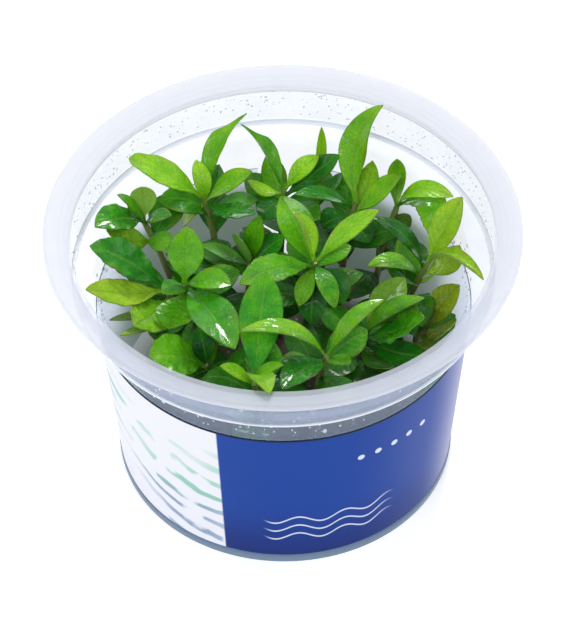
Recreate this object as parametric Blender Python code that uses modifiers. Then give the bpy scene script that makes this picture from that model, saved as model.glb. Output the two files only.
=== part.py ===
"""Aquarium stem plants in their tissue-culture cup: cup, printed sleeve, gel, stems and leaves.

Metres, +Z up. The cup's axis is Z, its base stands on Z = 0, and -Y is the front.
Plant sizes are in the lists in millimetres and are scaled by MM where they are used.
"""
import math

import bmesh
import bpy
from mathutils import Vector
from mathutils.bvhtree import BVHTree

MM = 0.001
GAP = 0.3

# The cup: a thin thermoformed pot with a sealing flange, an upper band and a ledge below it
HEIGHT = 66.5
RIM_RADIUS = 50.6
FLANGE_INNER = 44.65
FLANGE_DROP = 1.6
LIP = 1.1
WALL = 0.6
LEDGE_Z = 54.4
BAND_RADIUS = 45.2
BODY_TOP_RADIUS = 40.8
BODY_BOTTOM_RADIUS = 36.95
FOOT_RADIUS = 37.6
FOOT_RING = 34.0
FLOOR_Z = 1.6
TURN_STEPS = 32

# The printed sleeve round the tapered body, open in a narrow slit at the back
SLEEVE_TOP = 44.3
SLEEVE_BOTTOM = 2.4
SLEEVE_THICKNESS = 0.2
SLEEVE_TURN = 342.0
SLEEVE_STEPS = 30

GEL_TOP = 13.0
GEL_RIM = 0.8

STEM_RADIUS = 0.85
STEM_TAPER = 0.75
STEM_SPANS = 3
STEM_SIDES = 6

LEAF_THICKNESS = 0.4
LEAF_FOLD = math.radians(14)
LEAF_FOOT = 1.3
PETIOLE = 0.45
BLADE_START = 0.07
CLEARANCE = 0.2
LEAF_ROWS = (0.0, 0.2, 0.5, 0.8, 1.0)
SMALL_ROWS = (0.0, 0.28, 0.68, 1.0)
PAIR_ROWS = (0.0, 0.5, 1.0)

# A leaf that meets another is slid along the slanting line of sight and bowed a little more or less
SLANT = Vector((0.0, -0.7, 0.714))
SLIDES = (0.0, 0.8, -0.8, 1.6, -1.6, 2.4, -2.4, 3.2, -3.2, 4.2, -4.2, 5.4, -5.4)
BOWS = (0.0, 0.8, -0.8, 1.6, -1.6, 2.6, -2.6)

# Each shoot: its foot on the gel and its crown. Each leaf: place on the stem from 0 at the foot to 1
# at the crown, tip, width, arch above the straight line, sway to its right, and roll in degrees.
SHOOTS = {
    "a": {"foot": (-13, 19), "crown": (-17.4, 23.5, 52), "leaves": [
        (1.00, (-33.4, 27.8, 60), 6.0, 1.0, 0, 0),
        (1.00, (-7.5, 33.5, 67.5), 5.2, 1.0, -2.0, 20),
        (0.97, (-6.5, 25.2, 58), 5.0, 2.4, 0, 0),
        (0.95, (-6.0, 14.0, 56), 5.0, 2.0, 0, 0)], "small": [
        (0.97, (-18.8, 28.5, 58.5), 3.2, 0, 0, 0),
        (0.93, (-13.8, 28.0, 57.5), 4.0, 0.6, 0, 0),
        (0.95, (-22.0, 22.0, 45), 4.6, 1.2, 0, 0)]},
    "b": {"foot": (-1, 18), "crown": (0.4, 25.3, 52), "leaves": [
        (1.00, (-8.8, 31.8, 66), 4.8, 0.8, 1.2, -20),
        (1.00, (8.2, 29.7, 58), 4.2, 1.0, 0, 0),
        (0.96, (12.6, 30.0, 58), 5.4, 1.6, 0, 0),
        (0.98, (-7.5, 25.2, 55), 4.2, 1.2, 0, 0)], "small": [
        (0.93, (-4.7, 18.8, 49.5), 5.0, 1.6, 0, 0),
        (0.90, (-3.0, 33.0, 56), 4.6, 0.8, 0, 0)]},
    "c": {"foot": (12, 16), "crown": (16, 22.9, 50), "leaves": [
        (1.00, (22.3, 35.0, 68), 6.2, 0.4, -3.6, 0),
        (0.94, (26.0, 24.1, 57), 6.4, 1.4, 0, 0),
        (0.97, (2.6, 21.2, 54.5), 4.0, 2.0, 0, 0),
        (0.90, (8.6, 16.8, 48.5), 6.0, 1.4, 0, 0)], "small": [
        (0.88, (20.0, 29.0, 57), 4.0, 0.6, 0, 0),
        (0.85, (19.0, 14.5, 46), 4.6, 1.4, 0, 0)]},
    "d": {"foot": (19, 14), "crown": (25.4, 22.4, 50), "leaves": [
        (1.00, (33.0, 11.0, 50), 6.4, 4.2, -3.0, 0)], "small": [
        (0.97, (37.1, 17.0, 57.5), 3.8, 3.0, 0, 0),
        (0.97, (25.2, 26.3, 60), 3.2, 0, 0, 0),
        (0.93, (28.0, 18.6, 46.5), 3.0, 0.6, 0, 0)]},
    "e": {"foot": (24, 4), "crown": (31.2, 6.0, 48), "leaves": [
        (1.00, (38.6, 12.4, 62), 6.4, 0.6, 0, 0),
        (0.92, (38.2, 5.0, 54.6), 5.0, 0.8, 0, 0),
        (0.96, (19.3, 11.4, 57), 4.2, 3.2, 0, 0),
        (0.97, (42.2, -7.6, 57.2), 3.2, 4.6, 0, 0),
        (0.90, (18.3, 3.7, 50), 5.0, 2.6, 0, 0)], "small": [
        (0.84, (34.3, 0.2, 54), 3.4, 0.8, 0, 0),
        (0.92, (25.5, 11.2, 51.5), 5.2, 1.2, 0, 0),
        (0.80, (24.4, 1.0, 48.6), 4.4, 2.4, 0, 0)]},
    "g": {"foot": (13, -6), "crown": (17.6, -8.2, 42), "leaves": [
        (0.92, (29.6, -13.6, 52), 8.2, 1.8, 0, 0),
        (0.97, (26.1, 0.2, 50), 6.4, 0.8, 0, 0)], "small": [
        (0.95, (30.0, -3.4, 47.5), 4.2, 1.0, 0, 0),
        (0.90, (30.0, -16.0, 43), 5.0, 1.0, 0, 0),
        (0.85, (22.6, -18.0, 41), 4.4, 1.0, 0, 0)]},
    "h": {"foot": (4, 2), "crown": (6.9, 2.3, 53), "leaves": [
        (0.96, (-0.3, 13.4, 62), 6.8, 1.0, 0, 0),
        (1.00, (2.2, 6.8, 63.5), 3.8, 1.0, 1.0, 0),
        (1.00, (20.7, 10.8, 60), 4.8, 1.2, 0, 0),
        (0.97, (-9.2, -7.7, 57), 6.4, 2.0, 0, 0),
        (0.95, (12.9, -4.2, 47), 6.6, 1.6, 0, 0)], "small": [
        (0.94, (14.7, 3.4, 56.5), 3.8, 1.0, 0, 0),
        (0.97, (10.9, -7.6, 49), 3.4, 1.4, 0, 0),
        (0.95, (3.3, -6.0, 48), 3.2, 1.4, 0, 0),
        (0.90, (6.0, -6.5, 43), 5.0, 1.4, 0, 0)]},
    "i": {"foot": (-22, 11), "crown": (-30.4, 16.6, 52), "leaves": [
        (1.00, (-40.3, 8.8, 58), 5.2, 1.6, 0, 0),
        (0.86, (-37.9, 10.0, 55.8), 4.8, 0.8, 0, 0),
        (1.00, (-30.2, 17.6, 61.2), 5.0, 0.2, 0, 0)], "small": [
        (0.95, (-35.5, 16.5, 60), 3.2, 1.0, 0, 0),
        (0.97, (-33.2, 18.0, 58), 2.2, 0, 0, 0),
        (0.97, (-24.0, 14.8, 55), 3.8, 1.2, 0, 0),
        (0.90, (-25.2, 11.0, 48), 4.2, 1.2, 0, 0)]},
    "j": {"foot": (-15, -1), "crown": (-21.3, -1.1, 50), "leaves": [
        (1.00, (-20.2, 5.0, 61.5), 7.0, 0.6, 0, 0),
        (1.00, (-11.1, -5.1, 54), 5.2, 1.6, 0, 0),
        (0.97, (-10.3, -22.5, 53), 8.2, 1.8, 0, 0),
        (0.95, (-24.5, -11.6, 47.5), 6.4, 1.8, 0, 0)], "small": [
        (0.97, (-25.8, -4.6, 51), 4.6, 1.0, 0, 0),
        (0.85, (-12.0, -14.0, 44), 5.4, 1.2, 0, 0)]},
    "k": {"foot": (-20, 3), "crown": (-26, 2.4, 46), "leaves": [
        (1.00, (-41.2, 3.2, 58), 7.8, 1.6, 0, 0),
        (0.96, (-41.6, -8.4, 56.8), 4.6, 1.8, 0, 0),
        (0.87, (-31.8, -12.8, 50), 6.2, 1.8, 0, 0)], "small": [
        (0.80, (-37.0, -14.4, 53.4), 2.6, 2.0, 0, 0),
        (0.75, (-34.6, -14.6, 49), 2.8, 1.6, 0, 0)]},
    "l": {"foot": (-12, -12), "crown": (-16.8, -17, 42), "leaves": [
        (1.00, (-28.4, -21.4, 50), 7.2, 1.2, 0, 0)], "small": [
        (0.97, (-18.3, -13.4, 50), 4.2, 0.6, 0, 0),
        (0.97, (-27.8, -16.6, 49.5), 3.0, 1.0, 0, 0),
        (0.93, (-29.0, -21.5, 46), 3.8, 1.0, 0, 0),
        (0.95, (-10.0, -25.0, 45), 4.8, 1.4, 0, 0)]},
    "m": {"foot": (-5, -24), "crown": (-6.4, -31.3, 52), "leaves": [
        (1.00, (-3.6, -8.0, 61), 8.0, 0.8, 0, 0),
        (1.00, (-3.2, -47.4, 67.2), 4.8, 3.0, 0, 0)], "small": [
        (0.97, (-13.2, -30.6, 57), 3.0, 0.8, 0, 0),
        (0.97, (-0.3, -30.6, 57), 3.0, 0.8, 0, 0)]},
    "n": {"foot": (6, -16), "crown": (8.9, -22.1, 50), "leaves": [
        (1.00, (-9.0, -21.0, 57), 4.6, 4.4, 0, 0),
        (1.00, (21.0, -13.4, 57.6), 3.8, 3.2, 0, 0),
        (0.95, (-0.6, -35.0, 54.5), 6.2, 2.4, 0, 0)], "small": [
        (0.97, (13.6, -26.4, 52), 3.6, 2.0, 0, 0),
        (0.88, (-1.8, -27.2, 49), 4.6, 1.4, 0, 0)]},
    "o": {"foot": (-8, 8), "crown": (-7.3, 9.5, 46), "leaves": [], "small": [
        (0.97, (-4.9, 12.5, 57), 3.6, 0.4, 0, 0),
        (0.97, (-10.0, 8.0, 56), 4.6, 0.6, 0, 0),
        (0.97, (0.4, 11.6, 51.5), 4.8, 1.2, 0, 0),
        (0.95, (-18.0, 8.5, 52), 4.2, 1.6, 0, 0)]},
    "q": {"foot": (24, -5), "crown": (31, -3.6, 38), "leaves": [], "small": [
        (0.97, (38.0, 0.6, 47), 5.6, 1.2, 0, 0),
        (0.97, (36.4, -9.4, 45.5), 5.6, 1.4, 0, 0),
        (0.92, (32.6, -13.4, 41), 4.6, 1.2, 0, 0)]},
    "r": {"foot": (6, 22), "crown": (7.4, 29, 47), "leaves": [], "small": [
        (0.97, (8.8, 31.6, 65), 1.8, 0, 0, 0),
        (0.97, (13.6, 29.6, 52.6), 3.2, 1.0, 0, 0)]},
}

# Below the crown each stem carries older leaves in pairs, each pair a quarter turn from the last.
# Where the cup is too crowded for one, the plant has dropped it.
PAIR_PLACES = (0.86, 0.70, 0.54)
PAIR_TURN = 137.5
PAIR_LENGTHS = (12.0, 13.0, 12.0)
PAIR_RISES = (24, 18, 10)
PAIR_WIDTH = 5.6
PAIR_ARCH = 1.2


def add_pairs():
    """Add the stems' older leaves to their small leaves."""
    for order, shoot in enumerate(SHOOTS.values()):
        shoot["pairs"] = []
        for level, place in enumerate(PAIR_PLACES):
            for half in (0, 180):
                heading = math.radians(order * PAIR_TURN + level * 90 + half)
                rise = math.radians(PAIR_RISES[level])
                reach = Vector((math.cos(heading) * math.cos(rise), math.sin(heading) * math.cos(rise),
                                math.sin(rise))) * PAIR_LENGTHS[level]
                tip = stem_point(shoot, place) + reach
                shoot["pairs"].append((place, tuple(tip), PAIR_WIDTH, PAIR_ARCH, 0, 0))


def clear_scene():
    for thing in list(bpy.data.objects):
        bpy.data.objects.remove(thing, do_unlink=True)


def make_collection(name):
    collection = bpy.data.collections.new(name)
    bpy.context.scene.collection.children.link(collection)
    return collection


def make_material(name, color, roughness, alpha=1.0):
    material = bpy.data.materials.new(name)
    material.use_nodes = True
    shader = material.node_tree.nodes["Principled BSDF"]
    shader.inputs["Base Color"].default_value = (*color, 1.0)
    shader.inputs["Roughness"].default_value = roughness
    shader.inputs["Metallic"].default_value = 0.0
    shader.inputs["Alpha"].default_value = alpha
    return material


def add_object(name, data, material, collection):
    thing = bpy.data.objects.new(name, data)
    data.materials.append(material)
    collection.objects.link(thing)
    return thing


def body_radius(z):
    """Outer radius of the tapered body at height z."""
    share = (z - SLEEVE_BOTTOM) / (LEDGE_Z - SLEEVE_BOTTOM)
    return BODY_BOTTOM_RADIUS + (BODY_TOP_RADIUS - BODY_BOTTOM_RADIUS) * share


def cup_profile():
    """The wall's section from the middle of the floor, up the inside, over the rim and down the outside."""
    inside = [(0, FLOOR_Z), (body_radius(FLOOR_Z) - WALL - 0.8, FLOOR_Z),
              (body_radius(FLOOR_Z + 0.8) - WALL, FLOOR_Z + 0.8),
              (body_radius(LEDGE_Z) - WALL, LEDGE_Z),
              (BAND_RADIUS - WALL - 0.4, LEDGE_Z + 0.7),
              (FLANGE_INNER, HEIGHT - FLANGE_DROP - 0.4),
              (FLANGE_INNER + 0.3, HEIGHT - FLANGE_DROP)]
    rim = [(RIM_RADIUS - 0.9, HEIGHT), (RIM_RADIUS - 0.15, HEIGHT - 0.2), (RIM_RADIUS, HEIGHT - LIP)]
    outside = [(BAND_RADIUS + 0.4, HEIGHT - FLANGE_DROP - 0.8), (BAND_RADIUS, HEIGHT - FLANGE_DROP - 1.6),
               (BAND_RADIUS, LEDGE_Z + 0.9), (BAND_RADIUS - 0.5, LEDGE_Z - 0.1),
               (BODY_TOP_RADIUS - 0.07, LEDGE_Z - 0.6), (body_radius(SLEEVE_BOTTOM), SLEEVE_BOTTOM),
               (FOOT_RADIUS, 1.5), (FOOT_RADIUS, 0.5), (FOOT_RADIUS - 0.6, 0), (FOOT_RING, 0),
               (FOOT_RING - 0.6, 0.7), (0, 0.7)]
    return inside + rim + outside


def gel_profile():
    """The gel's section from its top, which climbs the wall a little, down to the floor."""
    low = FLOOR_Z + GAP
    wall = WALL + GAP + 0.1
    return [(0, GEL_TOP), (34.0, GEL_TOP), (body_radius(GEL_TOP + GEL_RIM) - wall, GEL_TOP + GEL_RIM),
            (body_radius(low + 1.0) - wall, low + 1.0), (body_radius(low) - wall - 1.0, low), (0, low)]


def sleeve_profile():
    radius_top = body_radius(SLEEVE_TOP) + GAP
    radius_bottom = body_radius(SLEEVE_BOTTOM) + GAP
    return [(radius_top, SLEEVE_TOP), (radius_bottom, SLEEVE_BOTTOM)]


def profile_mesh(name, profile):
    """A line of edges at +X, in metres, for a Screw modifier to turn."""
    mesh = bpy.data.meshes.new(name)
    points = [(radius * MM, 0.0, z * MM) for radius, z in profile]
    mesh.from_pydata(points, [(i, i + 1) for i in range(len(points) - 1)], [])
    return mesh


def add_turned(name, profile, material, collection, turn=360.0, steps=TURN_STEPS):
    thing = add_object(name, profile_mesh(name, profile), material, collection)
    screw = thing.modifiers.new("turn", "SCREW")
    screw.axis = "Z"
    screw.angle = math.radians(turn)
    screw.steps = steps
    screw.render_steps = steps
    screw.use_merge_vertices = turn == 360.0
    screw.merge_threshold = 0.0001
    screw.use_smooth_shade = True
    return thing


def add_sleeve(material, collection):
    sleeve = add_turned("label", sleeve_profile(), material, collection, SLEEVE_TURN, SLEEVE_STEPS)
    sleeve.rotation_euler = (0.0, 0.0, math.radians(90.0 + (360.0 - SLEEVE_TURN) / 2))
    paper = sleeve.modifiers.new("thickness", "SOLIDIFY")
    paper.thickness = SLEEVE_THICKNESS * MM
    paper.offset = 1.0
    return sleeve


def stem_point(shoot, place):
    """A point of the stem's middle line: it leaves the gel upright and leans over to its crown."""
    foot = Vector((*shoot["foot"], GEL_TOP + GAP))
    crown = Vector(shoot["crown"])
    knee = Vector((foot.x, foot.y, foot.z + 0.55 * (crown.z - foot.z)))
    return (1 - place) ** 2 * foot + 2 * place * (1 - place) * knee + place ** 2 * crown


def stem_radius(place):
    return STEM_RADIUS * (1 + (STEM_TAPER - 1) * place)


def add_stem(name, shoot, material, collection):
    """The stem as a mesh tube, so that its small leaves can be joined to it."""
    curve = bpy.data.curves.new(name, "CURVE")
    curve.dimensions = "3D"
    curve.bevel_depth = MM
    curve.bevel_resolution = 1
    curve.use_fill_caps = True
    line = curve.splines.new("POLY")
    line.points.add(STEM_SPANS)
    for i, point in enumerate(line.points):
        place = i / STEM_SPANS
        point.co = (*(stem_point(shoot, place) * MM), 1.0)
        point.radius = stem_radius(place)
    guide = bpy.data.objects.new(name + "_line", curve)
    collection.objects.link(guide)
    bpy.context.view_layer.update()
    graph = bpy.context.evaluated_depsgraph_get()
    mesh = bpy.data.meshes.new_from_object(guide.evaluated_get(graph))
    mesh.name = name
    bpy.data.objects.remove(guide, do_unlink=True)
    tube = bmesh.new()
    tube.from_mesh(mesh)
    bmesh.ops.remove_doubles(tube, verts=tube.verts, dist=0.00001)
    bmesh.ops.recalc_face_normals(tube, faces=tube.faces)
    tube.to_mesh(mesh)
    tube.free()
    mesh.materials.clear()
    return add_object(name, mesh, material, collection)


def half_width(width, t):
    """Half the blade's width at t along the midrib: a short stalk, broadest past the middle, a sharp tip."""
    if t <= BLADE_START:
        return PETIOLE
    share = (t - BLADE_START) / (1 - BLADE_START)
    blade = width / 2 * max(math.sin(math.pi * share ** 1.15), 0.0) ** 0.75
    return max(blade, PETIOLE * (1 - 0.6 * t))


def leaf_frame(leaf, foot, slide, bow):
    """Foot, control point, tip and side direction of a leaf, after its slide and bow."""
    _, tip, _, arch, sway, _ = leaf
    tip = Vector(tip) + slide * SLANT
    chord = tip - foot
    heading = Vector((chord.x, chord.y, 0.0)).normalized()
    side = Vector((heading.y, -heading.x, 0.0))
    lift = side.cross(chord.normalized())
    middle = (foot + tip) / 2 + 2 * ((arch + bow) * lift + sway * side)
    return foot, middle, tip, side


def leaf_point(leaf, frame, fold, t, s, pad=0.0):
    """A point of the blade: t from foot to tip, s from -1 to 1 across, pad off the surface."""
    foot, middle, tip, side = frame
    _, _, width, _, _, roll = leaf
    spine = (1 - t) ** 2 * foot + 2 * t * (1 - t) * middle + t ** 2 * tip
    tangent = ((1 - t) * (middle - foot) + t * (tip - middle)).normalized()
    across = (side - side.dot(tangent) * tangent).normalized()
    face = across.cross(tangent)
    angle = math.radians(roll)
    across, face = across * math.cos(angle) + face * math.sin(angle), \
        face * math.cos(angle) - across * math.sin(angle)
    reach = half_width(width, t) + (abs(pad) if s else 0.0)
    blade = s * reach * math.cos(fold) * across + abs(s) * reach * math.sin(fold) * face
    return spine + blade + pad * face


def leaf_foot(shoot, leaf, start):
    """Where the leaf's midrib begins: start millimetres level out from the stem's middle line."""
    axis = stem_point(shoot, leaf[0])
    heading = Vector(leaf[1]) - axis
    return axis + Vector((heading.x, heading.y, 0.0)).normalized() * start


def leaf_slab(leaf, frame, fold, rows, first):
    """The space that a leaf keeps for itself, as points and faces of a padded slab."""
    pad = LEAF_THICKNESS / 2 + CLEARANCE
    rows = [first + (1 - first) * t for t in rows]
    points = [leaf_point(leaf, frame, fold, t, s, side * pad)
              for side in (1, -1) for t in rows for s in (-1, 0, 1)]
    count = len(rows) * 3
    faces = []
    for row in range(len(rows) - 1):
        for column in range(2):
            a = row * 3 + column
            faces.append((a, a + 1, a + 4, a + 3))
            faces.append((a + count, a + count + 1, a + count + 4, a + count + 3))
        for edge in (0, 2):
            a = row * 3 + edge
            faces.append((a, a + 3, a + 3 + count, a + count))
    for row in (0, len(rows) - 1):
        for column in range(2):
            a = row * 3 + column
            faces.append((a, a + 1, a + 1 + count, a + count))
    return BVHTree.FromPolygons(points, faces)


def turned_space(profile):
    """The faces of a turned piece, for the leaves to keep clear of."""
    points = []
    for step in range(TURN_STEPS):
        angle = 2 * math.pi * step / TURN_STEPS
        points += [Vector((r * math.cos(angle), r * math.sin(angle), z)) for r, z in profile]
    count = len(profile)
    faces = []
    for step in range(TURN_STEPS):
        here = step * count
        there = (step + 1) % TURN_STEPS * count
        faces += [(here + i, here + i + 1, there + i + 1, there + i) for i in range(count - 1)]
    return BVHTree.FromPolygons(points, faces)


def stem_space(shoot):
    """The faces of a padded stem, for the other shoots' leaves to keep clear of."""
    points = []
    for i in range(STEM_SPANS + 1):
        place = i / STEM_SPANS
        reach = stem_radius(place) + CLEARANCE
        for step in range(STEM_SIDES):
            angle = 2 * math.pi * step / STEM_SIDES
            points.append(stem_point(shoot, place) + reach * Vector((math.cos(angle), math.sin(angle), 0)))
    faces = []
    for i in range(STEM_SPANS):
        for step in range(STEM_SIDES):
            a = i * STEM_SIDES + step
            b = i * STEM_SIDES + (step + 1) % STEM_SIDES
            faces.append((a, b, b + STEM_SIDES, a + STEM_SIDES))
    faces.append(tuple(range(STEM_SIDES)))
    faces.append(tuple(range(STEM_SPANS * STEM_SIDES, (STEM_SPANS + 1) * STEM_SIDES)))
    return BVHTree.FromPolygons(points, faces)


def settle_leaves():
    """Give every leaf a frame in which it is clear of the cup, the gel, the stems and the other leaves."""
    fixed = [turned_space(cup_profile()), turned_space(gel_profile())]
    stems = {key: stem_space(shoot) for key, shoot in SHOOTS.items()}
    tries = sorted(((slide, bow) for slide in SLIDES for bow in BOWS),
                   key=lambda pair: abs(pair[0]) + 1.3 * abs(pair[1]))
    spaces = []
    frames = {}
    for kind, fold, start, rows in (("leaves", LEAF_FOLD, LEAF_FOOT, LEAF_ROWS),
                                    ("small", 0.0, 0.0, SMALL_ROWS), ("pairs", 0.0, 0.0, PAIR_ROWS)):
        for key, shoot in SHOOTS.items():
            for index, leaf in enumerate(shoot[kind]):
                foot = leaf_foot(shoot, leaf, start)
                first = 0.0 if start else 1.5 * LEAF_FOOT / (Vector(leaf[1]) - foot).length
                others = fixed + [stems[other] for other in SHOOTS if other != key or start]
                others += [whole for other, whole, _ in spaces if other != key]
                near = [blade for other, _, blade in spaces if other == key]
                for slide, bow in tries:
                    frame = leaf_frame(leaf, foot, slide, bow)
                    whole = leaf_slab(leaf, frame, fold, rows, 0.0)
                    blade = leaf_slab(leaf, frame, fold, rows, first)
                    if not any(whole.overlap(other) for other in others) \
                            and not any(blade.overlap(other) for other in near):
                        spaces.append((key, whole, blade))
                        frames[key, kind, index] = frame
                        break
                else:
                    if kind != "pairs":
                        raise RuntimeError(f"no room for {kind} {index} of shoot {key}")
    return frames


def add_leaf(name, leaf, frame, fold, rows, material, collection):
    """A grid laid along the leaf's frame, as a thin closed shell; a flat one needs no middle line."""
    columns = 2 if fold else 1
    grid = bmesh.new()
    bmesh.ops.create_grid(grid, x_segments=columns, y_segments=len(rows) - 1, size=1.0)
    for corner in grid.verts:
        row = round((corner.co.y + 1) / 2 * (len(rows) - 1))
        corner.co = leaf_point(leaf, frame, fold, rows[row], round(corner.co.x)) * MM
    mesh = bpy.data.meshes.new(name)
    grid.to_mesh(mesh)
    grid.free()
    blade = add_object(name, mesh, material, collection)
    shell = blade.modifiers.new("thickness", "SOLIDIFY")
    shell.thickness = LEAF_THICKNESS * MM
    shell.offset = 0.0
    return blade


def join_leaf(stem, blade):
    """Join a small leaf to its stem as one closed body."""
    union = stem.modifiers.new("leaf", "BOOLEAN")
    union.operation = "UNION"
    union.object = blade
    bpy.context.view_layer.update()
    graph = bpy.context.evaluated_depsgraph_get()
    joined = bpy.data.meshes.new_from_object(stem.evaluated_get(graph))
    stem.modifiers.clear()
    old = stem.data
    stem.data = joined
    joined.name = stem.name
    bpy.data.meshes.remove(old)
    bpy.data.objects.remove(blade, do_unlink=True)


def add_plants(leaf_material, stem_material, collection):
    add_pairs()
    frames = settle_leaves()
    for key, shoot in SHOOTS.items():
        stem = add_stem("stem_" + key, shoot, stem_material, collection)
        for kind, rows in (("small", SMALL_ROWS), ("pairs", PAIR_ROWS)):
            for index, leaf in enumerate(shoot[kind]):
                frame = frames.get((key, kind, index))
                if frame:
                    join_leaf(stem, add_leaf("joined", leaf, frame, 0.0, rows, leaf_material, collection))
        for index, leaf in enumerate(shoot["leaves"]):
            frame = frames.get((key, "leaves", index))
            if frame:
                add_leaf(f"leaf_{key}{index + 1}", leaf, frame, LEAF_FOLD, LEAF_ROWS, leaf_material, collection)


def main():
    clear_scene()
    collection = make_collection("cup of stem plants")
    clear_plastic = make_material("clear plastic", (0.87, 0.88, 0.93), 0.25, 0.5)
    print_paper = make_material("printed sleeve", (0.04, 0.09, 0.36), 0.4)
    agar = make_material("gel", (0.80, 0.78, 0.68), 0.3, 0.8)
    leaf_green = make_material("leaf green", (0.07, 0.30, 0.02), 0.3)
    stem_green = make_material("stem green", (0.20, 0.26, 0.06), 0.5)
    add_turned("cup", cup_profile(), clear_plastic, collection)
    add_sleeve(print_paper, collection)
    add_turned("gel", gel_profile(), agar, collection)
    add_plants(leaf_green, stem_green, collection)


main()
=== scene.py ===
import math
import random

import bmesh
import bpy
from mathutils import Matrix, Vector
from mathutils.bvhtree import BVHTree


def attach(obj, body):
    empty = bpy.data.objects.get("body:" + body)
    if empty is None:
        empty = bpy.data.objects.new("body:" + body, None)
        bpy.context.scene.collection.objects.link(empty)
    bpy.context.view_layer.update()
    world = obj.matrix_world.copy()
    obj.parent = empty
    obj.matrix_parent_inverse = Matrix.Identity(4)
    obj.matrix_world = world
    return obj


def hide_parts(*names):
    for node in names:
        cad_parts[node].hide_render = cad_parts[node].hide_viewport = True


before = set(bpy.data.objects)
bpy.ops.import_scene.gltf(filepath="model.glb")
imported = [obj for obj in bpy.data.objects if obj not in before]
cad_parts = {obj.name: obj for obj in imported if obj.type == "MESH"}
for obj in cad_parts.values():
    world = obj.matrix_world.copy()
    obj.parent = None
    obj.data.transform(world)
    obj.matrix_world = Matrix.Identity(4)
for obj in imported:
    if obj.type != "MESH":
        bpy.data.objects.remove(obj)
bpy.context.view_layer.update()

MM = 0.001

# The cup, as in the part's source
HEIGHT = 66.5
RIM_RADIUS = 50.6
FLANGE_INNER = 44.65
FLANGE_DROP = 1.6
LIP = 1.1
WALL = 0.6
LEDGE_Z = 54.4
BAND_RADIUS = 45.2
BODY_TOP_RADIUS = 40.8
BODY_BOTTOM_RADIUS = 36.95
FOOT_RADIUS = 37.6
FOOT_RING = 34.0
FLOOR_Z = 1.6
SLEEVE_TOP = 44.3
SLEEVE_BOTTOM = 2.4
SLEEVE_TURN = 342.0
GAP = 0.3
GEL_TOP = 13.0
GEL_RIM = 0.8
CUP_STEPS = 128

# The shoots and leaves, as in the part's source
STEM_RADIUS = 0.85
STEM_TAPER = 0.75
LEAF_THICKNESS = 0.4
LEAF_FOLD = math.radians(14)
LEAF_FOOT = 1.3
PETIOLE = 0.45
BLADE_START = 0.07
LEAF_ROWS = (0.2, 0.5, 0.8)
SMALL_ROWS = (0.28, 0.68)
PAIR_ROWS = (0.5,)
SLANT = Vector((0.0, -0.7, 0.714))
SLIDES = (0.0, 0.8, -0.8, 1.6, -1.6, 2.4, -2.4, 3.2, -3.2, 4.2, -4.2, 5.4, -5.4)
BOWS = (0.0, 0.8, -0.8, 1.6, -1.6, 2.6, -2.6)

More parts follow.
